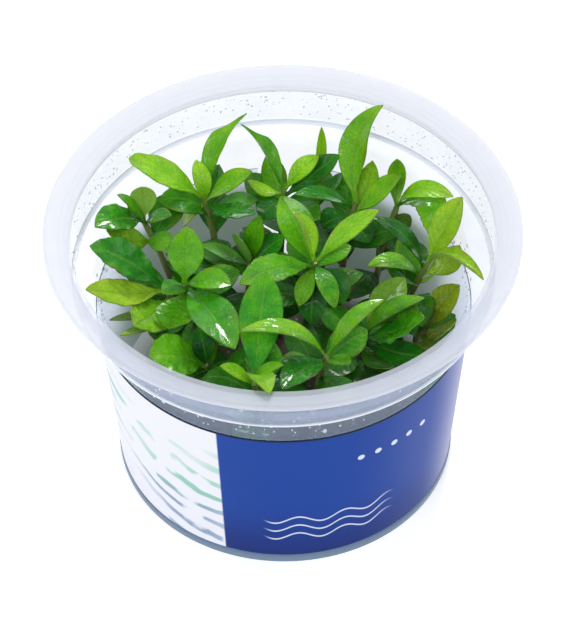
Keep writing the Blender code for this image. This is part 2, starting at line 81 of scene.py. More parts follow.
# Each shoot: foot and crown. Each leaf: place on the stem, tip, width, arch, sway, roll, and then its
# look: blade, light from 0 in deep shade to 1 (painted shade, partly the leaf's own darker or paler green),
# yellow from 0 to 1, and wet from 0 to 1.
SHOOTS = {
    "a": {"foot": (-13, 19), "crown": (-17.4, 23.5, 52), "leaves": [
        (1.00, (-33.4, 27.8, 60), 6.0, 1.0, 0, 0, "blunt", 0.80, 0.1, 0.7),
        (1.00, (-7.5, 33.5, 67.5), 5.2, 1.0, -2.0, 20, "hooked", 0.72, 0.1, 0.4),
        (0.97, (-6.5, 25.2, 58), 5.0, 2.4, 0, 0, "broad", 0.70, 0.15, 0.6),
        (0.95, (-6.0, 14.0, 56), 5.0, 2.0, 0, 0, "wavy", 0.40, 0.0, 1.0)], "small": [
        (0.97, (-18.8, 28.5, 58.5), 3.2, 0, 0, 0, "slim", 0.80, 0.2, 0.3),
        (0.93, (-13.8, 28.0, 57.5), 4.0, 0.6, 0, 0, "slim", 0.50, 0.0, 0.4),
        (0.95, (-22.0, 22.0, 45), 4.6, 1.2, 0, 0, "slim", 0.90, 0.7, 0.3)]},
    "b": {"foot": (-1, 18), "crown": (0.4, 25.3, 52), "leaves": [
        (1.00, (-8.8, 31.8, 66), 4.8, 0.8, 1.2, -20, "hooked", 0.60, 0.1, 0.6),
        (1.00, (8.2, 29.7, 58), 4.2, 1.0, 0, 0, "broad", 0.80, 0.1, 0.4),
        (0.96, (12.6, 30.0, 58), 5.4, 1.6, 0, 0, "broad", 0.35, 0.0, 0.4),
        (0.98, (-7.5, 25.2, 55), 4.2, 1.2, 0, 0, "broad", 0.80, 0.3, 0.3)], "small": [
        (0.93, (-4.7, 18.8, 49.5), 5.0, 1.6, 0, 0, "slim", 0.35, 0.0, 0.5),
        (0.90, (-3.0, 33.0, 56), 4.6, 0.8, 0, 0, "slim", 0.60, 0.2, 0.3)]},
    "c": {"foot": (12, 16), "crown": (16, 22.9, 50), "leaves": [
        (1.00, (22.3, 35.0, 68), 6.2, 0.4, -3.6, 0, "broad", 0.66, 0.2, 0.3),
        (0.94, (26.0, 24.1, 57), 6.4, 1.4, 0, 0, "broad", 0.70, 0.2, 0.5),
        (0.97, (2.6, 21.2, 54.5), 4.0, 2.0, 0, 0, "broad", 0.40, 0.0, 1.0),
        (0.90, (8.6, 16.8, 48.5), 6.0, 1.4, 0, 0, "broad", 0.35, 0.0, 0.3)], "small": [
        (0.88, (20.0, 29.0, 57), 4.0, 0.6, 0, 0, "slim", 0.75, 0.3, 0.2),
        (0.85, (19.0, 14.5, 46), 4.6, 1.4, 0, 0, "slim", 0.30, 0.0, 0.4)]},
    "d": {"foot": (19, 14), "crown": (25.4, 22.4, 50), "leaves": [
        (1.00, (33.0, 11.0, 50), 6.4, 4.2, -3.0, 0, "wavy", 0.72, 0.1, 0.9)], "small": [
        (0.97, (37.1, 17.0, 57.5), 3.8, 3.0, 0, 0, "slim", 0.75, 0.2, 0.7),
        (0.97, (25.2, 26.3, 60), 3.2, 0, 0, 0, "slim", 0.70, 0.2, 0.2),
        (0.93, (28.0, 18.6, 46.5), 3.0, 0.6, 0, 0, "slim", 0.30, 0.4, 0.2)]},
    "e": {"foot": (24, 4), "crown": (31.2, 6.0, 48), "leaves": [
        (1.00, (38.6, 12.4, 62), 6.4, 0.6, 0, 0, "broad", 0.85, 0.35, 0.5),
        (0.92, (38.2, 5.0, 54.6), 5.0, 0.8, 0, 0, "broad", 0.85, 0.6, 0.3),
        (0.96, (19.3, 11.4, 57), 4.2, 3.2, 0, 0, "broad", 0.28, 0.0, 0.8),
        (0.97, (42.2, -7.6, 57.2), 3.2, 4.6, 0, 0, "rolled", 0.80, 0.45, 0.3),
        (0.90, (18.3, 3.7, 50), 5.0, 2.6, 0, 0, "broad", 0.70, 0.1, 1.0)], "small": [
        (0.84, (34.3, 0.2, 54), 3.4, 0.8, 0, 0, "slim", 0.75, 0.4, 0.3),
        (0.92, (25.5, 11.2, 51.5), 5.2, 1.2, 0, 0, "slim", 0.55, 0.1, 0.4),
        (0.80, (24.4, 1.0, 48.6), 4.4, 2.4, 0, 0, "slim", 0.45, 0.0, 0.8)]},
    "g": {"foot": (13, -6), "crown": (17.6, -8.2, 42), "leaves": [
        (0.92, (29.6, -13.6, 52), 8.2, 1.8, 0, 0, "wavy", 0.50, 0.0, 1.0),
        (0.97, (26.1, 0.2, 50), 6.4, 0.8, 0, 0, "broad", 0.50, 0.45, 0.7)], "small": [
        (0.95, (30.0, -3.4, 47.5), 4.2, 1.0, 0, 0, "slim", 0.50, 0.2, 0.5),
        (0.90, (30.0, -16.0, 43), 5.0, 1.0, 0, 0, "slim", 0.28, 0.0, 0.5),
        (0.85, (22.6, -18.0, 41), 4.4, 1.0, 0, 0, "slim", 0.35, 0.2, 0.3)]},
    "h": {"foot": (4, 2), "crown": (6.9, 2.3, 53), "leaves": [
        (0.96, (-0.3, 13.4, 62), 6.8, 1.0, 0, 0, "broad", 0.62, 0.1, 0.5),
        (1.00, (2.2, 6.8, 63.5), 3.8, 1.0, 1.0, 0, "rolled", 0.90, 0.2, 0.5),
        (1.00, (20.7, 10.8, 60), 4.8, 1.2, 0, 0, "broad", 0.75, 0.2, 0.6),
        (0.97, (-9.2, -7.7, 57), 6.4, 2.0, 0, 0, "wavy", 0.60, 0.1, 1.0),
        (0.95, (12.9, -4.2, 47), 6.6, 1.6, 0, 0, "broad", 0.30, 0.0, 0.3)], "small": [
        (0.94, (14.7, 3.4, 56.5), 3.8, 1.0, 0, 0, "slim", 0.60, 0.1, 0.5),
        (0.97, (10.9, -7.6, 49), 3.4, 1.4, 0, 0, "slim", 0.50, 0.1, 0.4),
        (0.95, (3.3, -6.0, 48), 3.2, 1.4, 0, 0, "slim", 0.65, 0.2, 0.2),
        (0.90, (6.0, -6.5, 43), 5.0, 1.4, 0, 0, "slim", 0.25, 0.0, 0.3)]},
    "i": {"foot": (-22, 11), "crown": (-30.4, 16.6, 52), "leaves": [
        (1.00, (-40.3, 8.8, 58), 5.2, 1.6, 0, 0, "round", 0.48, 0.0, 1.0),
        (0.86, (-37.9, 10.0, 55.8), 4.8, 0.8, 0, 0, "round", 0.78, 0.3, 0.4),
        (1.00, (-30.2, 17.6, 61.2), 5.0, 0.2, 0, 0, "broad", 0.88, 0.2, 0.3)], "small": [
        (0.95, (-35.5, 16.5, 60), 3.2, 1.0, 0, 0, "slim", 0.55, 0.1, 0.5),
        (0.97, (-33.2, 18.0, 58), 2.2, 0, 0, 0, "slim", 0.60, 0.1, 0.3),
        (0.97, (-24.0, 14.8, 55), 3.8, 1.2, 0, 0, "slim", 0.45, 0.1, 0.8),
        (0.90, (-25.2, 11.0, 48), 4.2, 1.2, 0, 0, "slim", 0.55, 0.2, 0.5)]},
    "j": {"foot": (-15, -1), "crown": (-21.3, -1.1, 50), "leaves": [
        (1.00, (-20.2, 5.0, 61.5), 7.0, 0.6, 0, 0, "cut", 0.68, 0.1, 0.7),
        (1.00, (-11.1, -5.1, 54), 5.2, 1.6, 0, 0, "broad", 0.60, 0.1, 0.7),
        (0.97, (-10.3, -22.5, 53), 8.2, 1.8, 0, 0, "broad", 0.52, 0.0, 1.0),
        (0.95, (-24.5, -11.6, 47.5), 6.4, 1.8, 0, 0, "round", 0.58, 0.1, 0.8)], "small": [
        (0.97, (-25.8, -4.6, 51), 4.6, 1.0, 0, 0, "slim", 0.50, 0.1, 0.6),
        (0.85, (-12.0, -14.0, 44), 5.4, 1.2, 0, 0, "slim", 0.30, 0.0, 0.6)]},
    "k": {"foot": (-20, 3), "crown": (-26, 2.4, 46), "leaves": [
        (1.00, (-41.2, 3.2, 58), 7.8, 1.6, 0, 0, "wavy", 0.42, 0.0, 0.5),
        (0.96, (-41.6, -8.4, 56.8), 4.6, 1.8, 0, 0, "round", 0.85, 0.45, 0.3),
        (0.87, (-31.8, -12.8, 50), 6.2, 1.8, 0, 0, "round", 0.78, 0.15, 0.8)], "small": [
        (0.80, (-37.0, -14.4, 53.4), 2.6, 2.0, 0, 0, "slim", 0.50, 0.7, 0.2),
        (0.75, (-34.6, -14.6, 49), 2.8, 1.6, 0, 0, "slim", 0.80, 0.4, 0.3)]},
    "l": {"foot": (-12, -12), "crown": (-16.8, -17, 42), "leaves": [
        (1.00, (-28.4, -21.4, 50), 7.2, 1.2, 0, 0, "round", 0.60, 0.1, 0.5)], "small": [
        (0.97, (-18.3, -13.4, 50), 4.2, 0.6, 0, 0, "slim", 0.25, 0.0, 0.4),
        (0.97, (-27.8, -16.6, 49.5), 3.0, 1.0, 0, 0, "slim", 0.75, 0.2, 0.4),
        (0.93, (-29.0, -21.5, 46), 3.8, 1.0, 0, 0, "slim", 0.50, 0.1, 0.3),
        (0.95, (-10.0, -25.0, 45), 4.8, 1.4, 0, 0, "slim", 0.28, 0.0, 0.6)]},
    "m": {"foot": (-5, -24), "crown": (-6.4, -31.3, 52), "leaves": [
        (1.00, (-3.6, -8.0, 61), 8.0, 0.8, 0, 0, "broad", 0.50, 0.0, 0.4),
        (1.00, (-3.2, -47.4, 67.2), 4.8, 3.0, 0, 0, "broad", 0.75, 0.2, 0.5)], "small": [
        (0.97, (-13.2, -30.6, 57), 3.0, 0.8, 0, 0, "slim", 0.70, 0.2, 0.5),
        (0.97, (-0.3, -30.6, 57), 3.0, 0.8, 0, 0, "slim", 0.65, 0.2, 0.5)]},
    "n": {"foot": (6, -16), "crown": (8.9, -22.1, 50), "leaves": [
        (1.00, (-9.0, -21.0, 57), 4.6, 4.4, 0, 0, "broad", 0.68, 0.2, 1.0),
        (1.00, (21.0, -13.4, 57.6), 3.8, 3.2, 0, 0, "broad", 0.62, 0.2, 0.8),
        (0.95, (-0.6, -35.0, 54.5), 6.2, 2.4, 0, 0, "cut", 0.36, 0.0, 1.0)], "small": [
        (0.97, (13.6, -26.4, 52), 3.6, 2.0, 0, 0, "slim", 0.50, 0.2, 0.5),
        (0.88, (-1.8, -27.2, 49), 4.6, 1.4, 0, 0, "slim", 0.25, 0.0, 0.8)]},
    "o": {"foot": (-8, 8), "crown": (-7.3, 9.5, 46), "leaves": [], "small": [
        (0.97, (-4.9, 12.5, 57), 3.6, 0.4, 0, 0, "slim", 0.55, 0.1, 0.3),
        (0.97, (-10.0, 8.0, 56), 4.6, 0.6, 0, 0, "slim", 0.60, 0.1, 0.4),
        (0.97, (0.4, 11.6, 51.5), 4.8, 1.2, 0, 0, "slim", 0.35, 0.0, 0.4),
        (0.95, (-18.0, 8.5, 52), 4.2, 1.6, 0, 0, "slim", 0.50, 0.1, 0.4)]},
    "q": {"foot": (24, -5), "crown": (31, -3.6, 38), "leaves": [], "small": [
        (0.97, (38.0, 0.6, 47), 5.6, 1.2, 0, 0, "slim", 0.50, 0.9, 0.9),
        (0.97, (36.4, -9.4, 45.5), 5.6, 1.4, 0, 0, "slim", 0.55, 0.9, 1.0),
        (0.92, (32.6, -13.4, 41), 4.6, 1.2, 0, 0, "slim", 0.45, 0.7, 0.8)]},
    "r": {"foot": (6, 22), "crown": (7.4, 29, 47), "leaves": [], "small": [
        (0.97, (8.8, 31.6, 65), 1.8, 0, 0, 0, "slim", 0.90, 0.1, 0.2),
        (0.97, (13.6, 29.6, 52.6), 3.2, 1.0, 0, 0, "slim", 0.45, 0.0, 0.3)]},
}

PAIR_PLACES = (0.86, 0.70, 0.54)
PAIR_TURN = 137.5
PAIR_LENGTHS = (12.0, 13.0, 12.0)
PAIR_RISES = (24, 18, 10)
PAIR_WIDTH = 5.6
PAIR_ARCH = 1.2
# The paired leaves lower on each stem get smaller light values: painted shade, darker the deeper the pair.
PAIR_LIGHTS = (0.44, 0.35, 0.26)
TWIST = 16.0
TURNS = {"a1": -14, "i1": -20, "i2": -40, "k1": -12, "k2": -34, "k3": -20, "l1": -15, "e2": 20, "g2": 18}
BREADTHS = {"round": 1.45, "blunt": 1.12, "broad": 1.14, "wavy": 1.14, "rolled": 1.25, "hooked": 1.2, "cut": 1.12, "slim": 1.3, "low": 1.4}


# Everyday helpers around the operators

def deselect_all():
    if bpy.context.object and bpy.context.object.mode != "OBJECT":
        bpy.ops.object.mode_set(mode="OBJECT")
    bpy.ops.object.select_all(action="DESELECT")


def take(thing):
    """Make this the one selected and active object."""
    deselect_all()
    thing.select_set(True)
    bpy.context.view_layer.objects.active = thing
    return thing


def added(name):
    """The object that an add operator has just made, under its own name."""
    thing = bpy.context.object
    thing.name = name
    thing.data.name = name
    return thing


def edit(thing):
    take(thing)
    bpy.ops.object.mode_set(mode="EDIT")
    bpy.context.tool_settings.mesh_select_mode = (True, False, False)
    bpy.ops.mesh.select_all(action="DESELECT")


def pick(thing, test, kind="verts"):
    """In edit mode, select just the corners or edges or faces that pass the test."""
    bpy.ops.mesh.select_all(action="DESELECT")
    mesh = bmesh.from_edit_mesh(thing.data)
    mesh.select_mode = {{"verts": "VERT", "edges": "EDGE", "faces": "FACE"}[kind]}
    for element in getattr(mesh, kind):
        element.select_set(test(element))
    mesh.select_flush_mode()
    bmesh.update_edit_mesh(thing.data)


def leave_edit():
    bpy.ops.object.mode_set(mode="OBJECT")


def settle(thing):
    """Write the object's place, turn and size into its mesh."""
    take(thing)
    bpy.ops.object.transform_apply(location=True, rotation=True, scale=True)


def join_all(things, name):
    deselect_all()
    for thing in things:
        thing.select_set(True)
    bpy.context.view_layer.objects.active = things[0]
    if len(things) > 1:
        bpy.ops.object.join()
    joined = bpy.context.object
    joined.name = name
    joined.data.name = name
    return joined


def smooth(thing, angle=35):
    take(thing)
    bpy.ops.object.shade_smooth_by_angle(angle=math.radians(angle))


def copy_of(thing, name):
    twin = thing.copy()
    twin.data = thing.data.copy()
    twin.name = name
    bpy.context.scene.collection.objects.link(twin)
    return twin


# Materials

class Value:
    """A shader value that takes part in plain sums."""

    def __init__(self, recipe, socket):
        self.recipe = recipe
        self.socket = socket

    def math(self, operation, *values, clamp=False):
        return self.recipe.add("ShaderNodeMath", {"operation": operation, "use_clamp": clamp},
                               dict(enumerate(values)))

    def __add__(self, other):
        return self.math("ADD", self, other)

    __radd__ = __add__

    def __sub__(self, other):
        return self.math("SUBTRACT", self, other)

    def __rsub__(self, other):
        return self.math("SUBTRACT", other, self)

    def __mul__(self, other):
        return self.math("MULTIPLY", self, other)

    __rmul__ = __mul__

    def __truediv__(self, other):
        return self.math("DIVIDE", self, other)

    def __pow__(self, other):
        return self.math("POWER", self, other)

    def __abs__(self):
        return self.math("ABSOLUTE", self)

    def above(self, low, high):
        """0 below low, 1 above high, with a soft step between; the other way round if high is less."""
        return self.recipe.add("ShaderNodeMapRange", {"interpolation_type": "SMOOTHSTEP"},
                               {"Value": self, "From Min": low, "From Max": high})


class Recipe:
    """One material and the nodes that make it."""

    def __init__(self, name, **fixed):
        self.material = bpy.data.materials.new(name)
        self.material.use_nodes = True
        self.nodes = self.material.node_tree.nodes
        self.links = self.material.node_tree.links
        self.shader = self.nodes["Principled BSDF"]
        for socket, value in fixed.items():
            self.feed(self.shader.inputs[socket.replace("_", " ")], value)

    def feed(self, socket, value):
        if isinstance(value, Value):
            self.links.new(value.socket, socket)
        else:
            socket.default_value = value

    def add(self, kind, settings=None, values=None, out=0):
        """Any node: its type, its settings, its sockets' values or links, and the output wanted."""
        node = self.nodes.new(kind)
        for key, setting in (settings or {}).items():
            if key == "stops":
                ramp = node.color_ramp
                while len(ramp.elements) < len(setting):
                    ramp.elements.new(0.5)
                for element, (position, color) in zip(ramp.elements, setting):
                    element.position = position
                    element.color = (*color, 1.0)
            else:
                setattr(node, key, setting)
        for key, value in (values or {}).items():
            self.feed(node.inputs[key], value)
        return Value(self, node.outputs[out])

    def place(self):
        return self.add("ShaderNodeTexCoord", out="Object")

    def parts(self, vector):
        return [self.add("ShaderNodeSeparateXYZ", values={0: vector}, out=axis) for axis in range(3)]

    def noise(self, where, scale, detail=3.0, out="Fac"):
        return self.add("ShaderNodeTexNoise", values={"Vector": where, "Scale": scale, "Detail": detail},
                        out=out)

    def ramp(self, value, stops):
        return self.add("ShaderNodeValToRGB", {"stops": stops}, {"Fac": value})

    def blend(self, share, first, second):
        """Colour first turned into colour second by the share."""
        first = first if isinstance(first, Value) else (*first, 1.0)
        second = second if isinstance(second, Value) else (*second, 1.0)
        return self.add("ShaderNodeMix", {"data_type": "RGBA"}, {0: share, 6: first, 7: second}, out=2)

    def relief(self, height, depth, strength=1.0):
        return self.add("ShaderNodeBump", values={"Height": height, "Distance": depth, "Strength": strength})

    def wears(self, **values):
        for socket, value in values.items():
            self.feed(self.shader.inputs[socket.replace("_", " ")], value)
        return self.material


def leaf_green(name, underside=False):
    """A leaf's face: pale midrib and side veins, pillowed between them, a darker margin."""
    recipe = Recipe(name)
    where = recipe.place()
    along, across, _ = recipe.parts(recipe.add("ShaderNodeUVMap", {"uv_map": "UVMap"}))
    side = abs(across * 2 - 1)
    phase = along * 8 - side ** 1.4 * 1.7
    wave = abs(phase.math("FRACT", phase) * 2 - 1)
    veins = wave.above(0.84, 1.0) * side.above(1.0, 0.5)
    midrib = side.above(0.13, 0.03)
    ribs = midrib.math("MAXIMUM", midrib, veins * 0.35)
    look = recipe.add("ShaderNodeAttribute", {"attribute_name": "look"}, out="Color")
    light, yellow, wet = recipe.parts(look)
    mottle = recipe.noise(where, 260.0)
    fine = recipe.noise(where, 1500.0, 2.0)
    # Each leaf's light value darkens leaves that lie deep in the foliage: painted shade, partly also the leaf's own
    # darker or paler green.
    tone = light * 1.08 - 0.02 + (mottle - 0.5) * 0.50 + (fine - 0.5) * 0.12 + along * 0.10
    green = recipe.ramp(tone, [(0.0, (0.001, 0.013, 0.001)), (0.25, (0.002, 0.078, 0.001)),
                               (0.50, (0.012, 0.245, 0.001)), (0.75, (0.105, 0.480, 0.001)),
                               (1.0, (0.310, 0.720, 0.008))])
    gold = recipe.ramp(tone, [(0.0, (0.030, 0.030, 0.002)), (0.40, (0.130, 0.160, 0.006)),
                              (0.75, (0.320, 0.430, 0.012)), (1.0, (0.480, 0.600, 0.050))])
    dull = recipe.noise(where, 180.0, 2.0).above(0.50, 0.66) * side.above(0.45, 0.95)
    tinge = along.above(0.70, 1.0) * light * 0.22
    color = recipe.blend(yellow + dull * 0.35 + tinge, green, gold)
    color = recipe.blend(ribs * 0.24, color, (0.22, 0.46, 0.05))
    cells = recipe.add("ShaderNodeTexVoronoi", {"feature": "DISTANCE_TO_EDGE"},
                       {"Vector": where, "Scale": 1200.0})
    net = cells.above(0.12, 0.02)
    color = recipe.blend(net * 0.20, color, (0.006, 0.080, 0.001))
    color = recipe.blend(side.above(0.92, 1.0) * 0.35, color, (0.040, 0.060, 0.006))
    if underside:
        color = recipe.blend(0.45, color, (0.26, 0.40, 0.14))
    spots = recipe.add("ShaderNodeTexVoronoi", values={"Vector": where, "Scale": 560.0})
    drops = spots.above(0.22, 0.15) * wet * recipe.noise(where, 130.0).above(0.53, 0.58)
    # Water drops on wet leaves are painted paler: a painted glint, on top of their gloss and relief.
    color = recipe.blend(drops * 0.3, color, (0.50, 0.66, 0.50))
    pillows = (1 - wave) * 0.45 - midrib * 0.8 - net * 0.2 + fine * 0.25 + drops * 1.2
    film = drops.math("MAXIMUM", drops, wet * recipe.noise(where, 300.0).above(0.44, 0.50))
    return recipe.wears(Base_Color=color, Roughness=0.40 - film * 0.28 + fine * 0.08,
                        Coat_Weight=film * (0.3 if underside else 1.0), Coat_Roughness=0.09,
                        Specular_IOR_Level=0.24,
                        Normal=recipe.relief(pillows, 0.00020 if not underside else 0.00012, 0.8))


def stem_bark():
    recipe = Recipe("stem green")
    where = recipe.place()
    height = recipe.parts(where)[2]
    streaks = recipe.noise(recipe.add("ShaderNodeMapping", values={"Vector": where, "Scale": (1, 1, 0.12)}),
                           2200.0)
    age = (height * 1000).above(48.0, 24.0) * 0.7 + streaks * 0.35
    color = recipe.ramp(age, [(0.0, (0.130, 0.230, 0.030)), (0.45, (0.150, 0.130, 0.030)),
                              (1.0, (0.060, 0.028, 0.012))])
    return recipe.wears(Base_Color=color, Roughness=0.40 + streaks * 0.2, Coat_Weight=0.3,
                        Coat_Roughness=0.15, Normal=recipe.relief(streaks, 0.00008))


def clear_wall():
    """Thin clear plastic: faintly fogged, with a painted highlight along the ledge's fold, denser and darker in the
    foot.
    """
    recipe = Recipe("clear wall")
    where = recipe.place()
    x, y, z = recipe.parts(where)
    height = z * 1000
    reach = (x * x + y * y) ** 0.5 * 1000
    fog = recipe.noise(where, 90.0)
    beads = recipe.add("ShaderNodeTexVoronoi", values={"Vector": where, "Scale": 900.0})
    fold = abs(height - (LEDGE_Z - 0.15)).above(0.55, 0.30) * reach.above(44.0, 44.6)
    band = height.above(54.8, 55.4) * reach.above(44.8, 45.0)
    foot = height.above(2.5, 2.2)
    color = recipe.blend(band * 0.5, (0.46, 0.56, 0.76), (0.66, 0.71, 0.84))
    # The ledge's rounded fold is painted near white and made more opaque: a painted highlight.
    color = recipe.blend(fold, color, (0.92, 0.94, 1.0))
    color = recipe.blend(foot, color, (0.16, 0.24, 0.36))
    return recipe.wears(Base_Color=color, Alpha=0.15 + fog * 0.10 + band * 0.08 + fold * 0.60 + foot * 0.70,
                        Roughness=0.14 + fog * 0.12, Specular_IOR_Level=0.3, Coat_Weight=0.15,
                        Coat_Roughness=0.06, Normal=recipe.relief(beads * fog, 0.00005))


def milky_flange():
    """The thicker rolled flange, milky white; the outer face of its lip is painted lighter as painted light, and the
    faces below it are painted bluer and darker as painted shade, darkest where the flange meets the wall.
    """
    recipe = Recipe("milky flange")
    where = recipe.place()
    x, y, z = recipe.parts(where)
    height = z * 1000
    reach = (x * x + y * y) ** 0.5 * 1000
    cloud = recipe.noise(where, 60.0)
    ripple = recipe.noise(where, 700.0, 2.0)
    turning = recipe.noise(recipe.add("ShaderNodeCombineXYZ", values={0: reach}), 1.7, 2.0)
    color = recipe.ramp(cloud, [(0.3, (0.68, 0.70, 0.79)), (0.7, (0.72, 0.74, 0.82))])
    color = recipe.blend(turning.above(0.50, 0.60) * 0.30, color, (0.60, 0.63, 0.74))
    # The outer face of the lip is painted lighter: painted light.
    color = recipe.blend(reach.above(50.2, 50.45) * 0.7, color, (0.88, 0.90, 0.96))
    # Below the lip the flange is painted bluer and darker, darkest where it meets the wall: painted shade under the
    # lip.
    color = recipe.blend(height.above(65.2, 63.8) * 0.6, color, (0.56, 0.64, 0.80))
    color = recipe.blend(height.above(63.8, 63.3) * 0.8, color, (0.22, 0.29, 0.40))
    return recipe.wears(Base_Color=color, Alpha=0.46 + cloud * 0.1, Roughness=0.46 + cloud * 0.08,
                        Specular_IOR_Level=0.35, Normal=recipe.relief(ripple * 0.4 + turning, 0.00006))


def water_bead():
    recipe = Recipe("water bead", Roughness=0.03, IOR=1.33, Coat_Weight=1.0, Coat_Roughness=0.02)
    where = recipe.place()
    shade = recipe.noise(where, 300.0)
    # Beads on the front of the cup are painted lighter and more opaque: painted light.
    painted_front_light = (recipe.parts(where)[1] * 1000).above(-5.0, -25.0)
    color = recipe.ramp(shade, [(0.3, (0.36, 0.40, 0.50)), (0.7, (0.70, 0.74, 0.84))])
    return recipe.wears(Base_Color=recipe.blend(painted_front_light, color, (0.94, 0.96, 1.0)),
                        Alpha=0.22 + shade * 0.2 + painted_front_light * 0.45)


def culture_gel():
    recipe = Recipe("culture gel")
    where = recipe.place()
    x, y, _ = recipe.parts(where)
    reach = (x * x + y * y) ** 0.5 * 1000
    cloud = recipe.noise(where, 120.0)
    strands = recipe.add("ShaderNodeTexNoise", {"noise_type": "RIDGED_MULTIFRACTAL"},
                         {"Vector": where, "Scale": 150.0, "Detail": 3.0})
    specks = recipe.noise(where, 900.0, 2.0).above(0.62, 0.70)
    # The gel's dark brown-olive stands partly for the roots in it and partly for painted shade.
    color = recipe.ramp(cloud, [(0.3, (0.045, 0.050, 0.018)), (0.7, (0.120, 0.110, 0.050))])
    color = recipe.blend(strands.above(0.9, 1.6) * 0.5, color, (0.230, 0.180, 0.090))
    # Pale specks, made glossier too, are painted glints on the wet gel.
    color = recipe.blend(specks * 0.4, color, (0.50, 0.50, 0.42))
    # Near the wall the gel is painted paler and given a faint glow: partly the gel's own paleness, partly painted
    # light and a painted glow.
    near_wall_light = reach.above(29.0, 38.0)
    color = recipe.blend(near_wall_light * 0.7, color, (0.46, 0.48, 0.47))
    glow = recipe.blend(near_wall_light, (0.0, 0.0, 0.0), (0.20, 0.22, 0.22))
    return recipe.wears(Base_Color=color, Roughness=0.45 + cloud * 0.2 - specks * 0.3, Specular_IOR_Level=0.2,
                        Alpha=0.92, Emission_Color=glow, Emission_Strength=1.0,
                        Normal=recipe.relief(cloud + strands * 0.3, 0.0005))


def sleeve_print():
    """A white panel with a soft green and blue wash to the left, a blue one with ripples and dots to the right; the
    blue is painted paler towards its right end as a painted reflection, and a thin painted shadow runs along the top
    edge.
    """
    recipe = Recipe("sleeve print")
    where = recipe.place()
    x, y, z = recipe.parts(where)
    turn = recipe.add("ShaderNodeMath", {"operation": "ARCTAN2"}, {0: x, 1: 0 - y}) * math.degrees(1.0)
    height = z * 1000
    arc = turn * (39.0 * math.radians(1.0))
    drift = recipe.noise(where, 40.0)
    slow = recipe.noise(where, 22.0, 2.0)
    stream = recipe.add("ShaderNodeMath", {"operation": "SINE"}, {0: height * 1.15 + arc * 0.28 + drift * 15.0})
    broken = recipe.noise(where, 130.0, 2.0).above(0.42, 0.52)
    wash = stream.above(0.20, 0.80) * slow.above(0.36, 0.48) * height.above(40.0, 33.0) * broken
    tint = recipe.blend(height.above(12.0, 24.0), (0.22, 0.32, 0.50), (0.24, 0.60, 0.42))
    white = recipe.blend(wash * 0.90, (0.84, 0.85, 0.92), tint)
    shade = height.above(1.0, 22.0) * 0.75 + drift * 0.25
    blue = recipe.ramp(shade, [(0.0, (0.002, 0.018, 0.165)), (1.0, (0.004, 0.056, 0.350))])
    # Towards the right end the blue is painted paler, then near lavender: a painted reflection.
    blue = recipe.blend(turn.above(20.0, 66.0) * 0.45, blue, (0.100, 0.145, 0.420))
    blue = recipe.blend(turn.above(50.0, 80.0) * 0.8, blue, (0.50, 0.52, 0.72))
    wave = recipe.add("ShaderNodeMath", {"operation": "SINE"}, {0: arc * 0.60})
    level = height - 9.5 - wave * 1.1
    row = recipe.add("ShaderNodeMath", {"operation": "PINGPONG"}, {0: level, 1: 1.5})
    ripples = row.above(0.32, 0.18) * level.above(-1.0, -0.9) * level.above(7.2, 7.1)
    ripples = ripples * turn.above(-8.0, -4.0) * turn.above(38.0, 30.0)
    across = recipe.add("ShaderNodeMath", {"operation": "PINGPONG"}, {0: arc, 1: 2.0})
    rise = height - 34.0
    dots = (across * across + rise * rise).above(0.75, 0.50) * turn.above(20.4, 20.6) * turn.above(50.2, 50.0)
    blue = recipe.blend(ripples * 0.85 + dots * 0.9, blue, (0.78, 0.83, 0.95))
    panel = turn.above(-20.6, -21.2) * turn.above(-150.4, -150.0)
    grain = recipe.noise(where, 1800.0)
    # A thin near-black line along the top edge is a painted shadow.
    print_with_edge_shadow = recipe.blend(height.above(43.75, 43.95), recipe.blend(panel, blue, white), (0.010, 0.014, 0.030))
    return recipe.wears(Base_Color=print_with_edge_shadow, Roughness=0.42 + grain * 0.1,
                        Specular_IOR_Level=0.12, Normal=recipe.relief(grain, 0.00002))


def sleeve_back():
    """The sleeve's inner side: a painted glow stands in for the light that comes through it, least near the bottom
    and at the back, where its colour is also painted a darker green as painted shade.
    """
    recipe = Recipe("sleeve back")
    where = recipe.place()
    _, y, z = recipe.parts(where)
    height = z * 1000
    grain = recipe.noise(where, 900.0)
    # At the back the colour is painted a dark green and the glow is weaker: painted shade.
    back = (y * 1000).above(10.0, 26.0) * height.above(43.0, 36.0)
    share = height.above(4.0, 36.0) * (1 - back * 0.65)
    pale = recipe.ramp(grain, [(0.3, (0.78, 0.80, 0.86)), (0.7, (0.86, 0.87, 0.92))])
    # The emitted glow is painted light, weakest low down and at the back.
    glow = recipe.ramp(share, [(0.0, (0.02, 0.026, 0.018)), (0.5, (0.22, 0.27, 0.21)), (1.0, (0.70, 0.72, 0.78))])
    return recipe.wears(Base_Color=recipe.blend(back, pale, (0.30, 0.38, 0.26)), Roughness=0.6,
                        Emission_Color=glow, Emission_Strength=1.0)


def pale_floor():
    recipe = Recipe("pale floor")
    grain = recipe.noise(recipe.place(), 30.0)
    return recipe.wears(Base_Color=recipe.ramp(grain, [(0.3, (0.90, 0.90, 0.905)), (0.7, (0.92, 0.92, 0.925))]),
                        Roughness=0.8, Emission_Color=(1.0, 1.0, 1.0, 1.0), Emission_Strength=0.40)


# Turned pieces

def body_radius(z):
    share = (z - SLEEVE_BOTTOM) / (LEDGE_Z - SLEEVE_BOTTOM)
    return BODY_BOTTOM_RADIUS + (BODY_TOP_RADIUS - BODY_BOTTOM_RADIUS) * share


